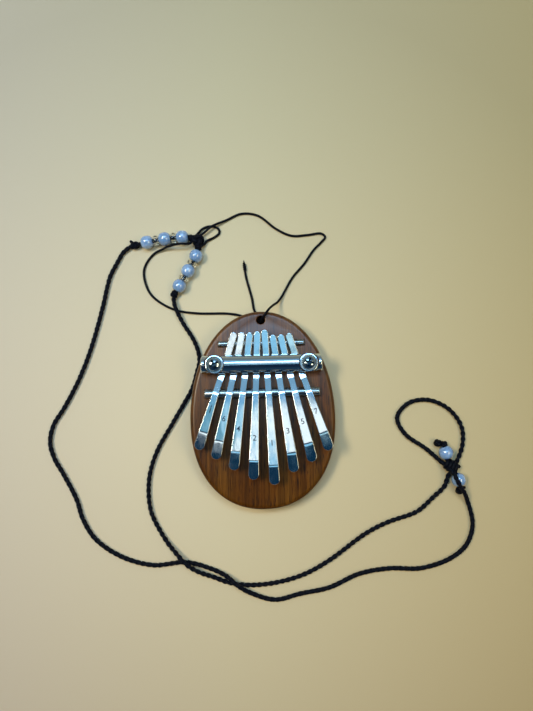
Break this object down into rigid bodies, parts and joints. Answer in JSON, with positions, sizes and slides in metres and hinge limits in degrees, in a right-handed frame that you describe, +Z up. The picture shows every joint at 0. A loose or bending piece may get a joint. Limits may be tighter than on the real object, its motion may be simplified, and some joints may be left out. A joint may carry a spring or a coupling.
{
  "type": "pocket thumb piano",
  "caption": "Egg-shaped mahogany thumb piano with fanned steel tines under a screwed pressure bar, and a beaded braided neck lanyard with a sliding knot.",
  "frame": {"origin": "centre of the board's underside", "axes": "+Y along the board towards the lanyard hole, +X to the right as played, +Z up out of the playing face"},
  "size_m": [0.1861, 0.1727, 0.0175],
  "materials": {
    "board_wood": "satin lacquered mahogany, dark pores along Y",
    "rod_steel": "bright nickel plate",
    "bar_steel": "bright nickel plate, lightly brushed along X",
    "screw_steel": "bright nickel plate",
    "tine_steel": "polished spring steel, faint grinding marks along the tine",
    "braided_cord": "four-strand round braid of waxed polyester",
    "waxed_cord": "smooth waxed cord",
    "milky_bead": "milky blue translucent, polished",
    "clear_spacer": "clear, polished"
  },
  "bodies": {
    "root": {"body_board": "board_wood", "front_bridge_rod": "rod_steel", "rear_bridge_rod": "rod_steel", "pressure_bar": "bar_steel", "washer_left": "screw_steel", "bar_screw_left": "screw_steel", "washer_right": "screw_steel", "bar_screw_right": "screw_steel", "tine_1_root": "tine_steel", "tine_2_root": "tine_steel", "tine_3_root": "tine_steel", "tine_4_root": "tine_steel", "tine_5_root": "tine_steel", "tine_6_root": "tine_steel", "tine_7_root": "tine_steel", "tine_8_root": "tine_steel", "hanger_cord_long": "waxed_cord", "hanger_cord_left": "waxed_cord", "hanger_cord_tail": "waxed_cord", "hanger_bow_loop": "waxed_cord", "bead_thread_left": "waxed_cord", "bead_thread_right": "waxed_cord", "neck_cord_left": "braided_cord", "neck_cord_loop": "braided_cord", "neck_cord_right": "braided_cord", "slider_thread_upper": "waxed_cord", "slider_thread_lower": "waxed_cord", "hanger_back_knot": "waxed_cord", "junction_knot": "waxed_cord", "neck_knot_left": "braided_cord", "neck_knot_right": "braided_cord", "slider_knot": "waxed_cord", "slider_stop_upper": "waxed_cord", "slider_stop_lower": "waxed_cord", "bead_left_1": "milky_bead", "bead_left_2": "milky_bead", "bead_left_3": "milky_bead", "bead_right_1": "milky_bead", "bead_right_2": "milky_bead", "bead_right_3": "milky_bead", "slider_bead_upper": "milky_bead", "slider_bead_lower": "milky_bead", "spacer_left_1": "clear_spacer", "spacer_left_2": "clear_spacer", "spacer_right_1": "clear_spacer", "spacer_right_2": "clear_spacer"},
    "tine_1": {"tine_1_blade": "tine_steel"},
    "tine_2": {"tine_2_blade": "tine_steel"},
    "tine_3": {"tine_3_blade": "tine_steel"},
    "tine_4": {"tine_4_blade": "tine_steel"},
    "tine_5": {"tine_5_blade": "tine_steel"},
    "tine_6": {"tine_6_blade": "tine_steel"},
    "tine_7": {"tine_7_blade": "tine_steel"},
    "tine_8": {"tine_8_blade": "tine_steel"}
  },
  "joints": [
    {"name": "tine_1_pluck", "type": "hinge", "parent": "root", "child": "tine_1", "pos_m": [-0.01971, 0.0068, 0.01295], "axis": [0.9519, -0.3065, 0], "range_deg": [-3, 4], "stiffness_Nm_per_rad": 6.2},
    {"name": "tine_2_pluck", "type": "hinge", "parent": "root", "child": "tine_2", "pos_m": [-0.01385, 0.0068, 0.01295], "axis": [0.9753, -0.2207, 0], "range_deg": [-3, 4], "stiffness_Nm_per_rad": 5.4},
    {"name": "tine_3_pluck", "type": "hinge", "parent": "root", "child": "tine_3", "pos_m": [-0.00822, 0.0068, 0.01295], "axis": [0.9911, -0.1331, 0], "range_deg": [-3, 4], "stiffness_Nm_per_rad": 4.7},
    {"name": "tine_4_pluck", "type": "hinge", "parent": "root", "child": "tine_4", "pos_m": [-0.00273, 0.0068, 0.01295], "axis": [0.999, -0.0445, 0], "range_deg": [-3, 4], "stiffness_Nm_per_rad": 4.2},
    {"name": "tine_5_pluck", "type": "hinge", "parent": "root", "child": "tine_5", "pos_m": [0.00273, 0.0068, 0.01295], "axis": [0.999, 0.0445, 0], "range_deg": [-3, 4], "stiffness_Nm_per_rad": 4},
    {"name": "tine_6_pluck", "type": "hinge", "parent": "root", "child": "tine_6", "pos_m": [0.00822, 0.0068, 0.01295], "axis": [0.9911, 0.1331, 0], "range_deg": [-3, 4], "stiffness_Nm_per_rad": 4.5},
    {"name": "tine_7_pluck", "type": "hinge", "parent": "root", "child": "tine_7", "pos_m": [0.01385, 0.0068, 0.01295], "axis": [0.9753, 0.2207, 0], "range_deg": [-3, 4], "stiffness_Nm_per_rad": 5.1},
    {"name": "tine_8_pluck", "type": "hinge", "parent": "root", "child": "tine_8", "pos_m": [0.01971, 0.0068, 0.01295], "axis": [0.9519, 0.3065, 0], "range_deg": [-3, 4], "stiffness_Nm_per_rad": 5.9}
  ]
}
